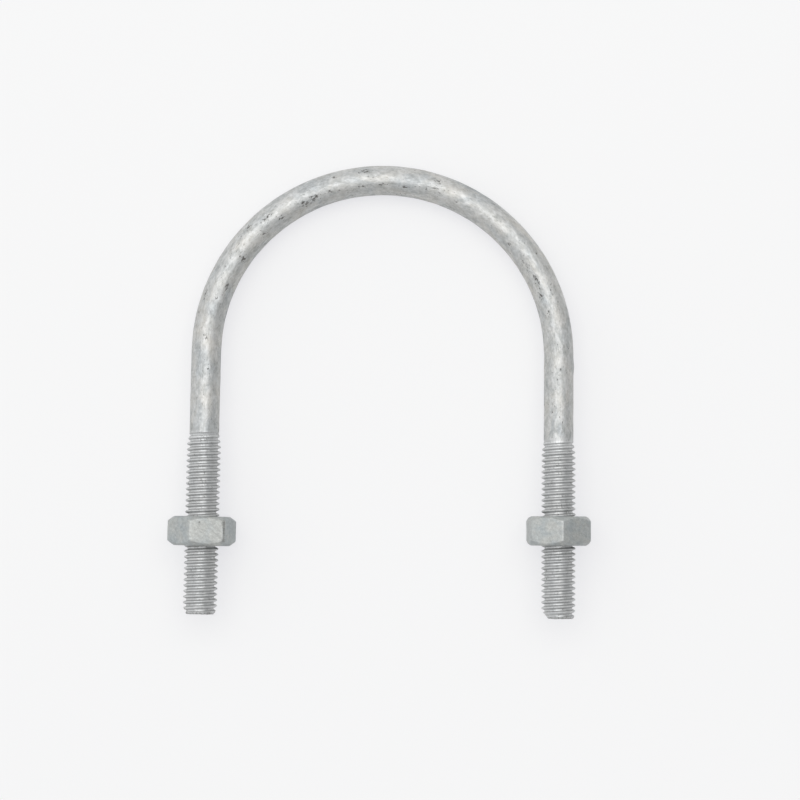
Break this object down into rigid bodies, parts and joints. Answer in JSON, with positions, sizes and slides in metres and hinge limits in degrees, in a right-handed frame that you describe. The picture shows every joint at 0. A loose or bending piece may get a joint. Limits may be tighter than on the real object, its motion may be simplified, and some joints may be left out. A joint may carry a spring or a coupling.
{
  "type": "u-bolt",
  "caption": "Round-bend U-bolt of galvanised steel bar with a threaded end on each leg and a hexagon nut on each, for clamping a pipe to a plate or beam.",
  "frame": {"origin": "on the axis of the pipe that the bend holds, at the centre of the bend's circle", "axes": "+X across the legs to the right one, +Y from the leg ends towards the crown, +Z along the pipe and up, with the U lying flat"},
  "size_m": [0.1185, 0.127, 0.0196],
  "materials": {
    "bar_zinc": "hot-dip galvanised, satin, softly mottled with small pits",
    "nut_zinc": "hot-dip galvanised, matte grey, finely mottled"
  },
  "bodies": {
    "bar": {"bar": "bar_zinc"},
    "left_nut_travel": {"left_nut_thread": "nut_zinc"},
    "left_nut": {"left_nut": "nut_zinc"},
    "right_nut_travel": {"right_nut_thread": "nut_zinc"},
    "right_nut": {"right_nut": "nut_zinc"}
  },
  "joints": [
    {"name": "left_nut_travel", "type": "slide", "parent": "bar", "child": "left_nut_travel", "axis": [0.0079, 1, 0], "range_m": [-0.02857, 0.01905]},
    {"name": "left_nut_turn", "type": "hinge", "parent": "left_nut_travel", "child": "left_nut", "pos_m": [-0.05004, -0.05, 0], "axis": [0.0079, 1, 0], "range_deg": [-6480, 4320]},
    {"name": "right_nut_travel", "type": "slide", "parent": "bar", "child": "right_nut_travel", "axis": [-0.0079, 1, 0], "range_m": [-0.03016, 0.01746]},
    {"name": "right_nut_turn", "type": "hinge", "parent": "right_nut_travel", "child": "right_nut", "pos_m": [0.05003, -0.0487, 0], "axis": [-0.0079, 1, 0], "range_deg": [-6840, 3960]}
  ],
  "couplings": [
    {"joint": "left_nut_travel", "follows": "left_nut_turn", "m_per_rad": 0.00025266},
    {"joint": "right_nut_travel", "follows": "right_nut_turn", "m_per_rad": 0.00025266}
  ]
}
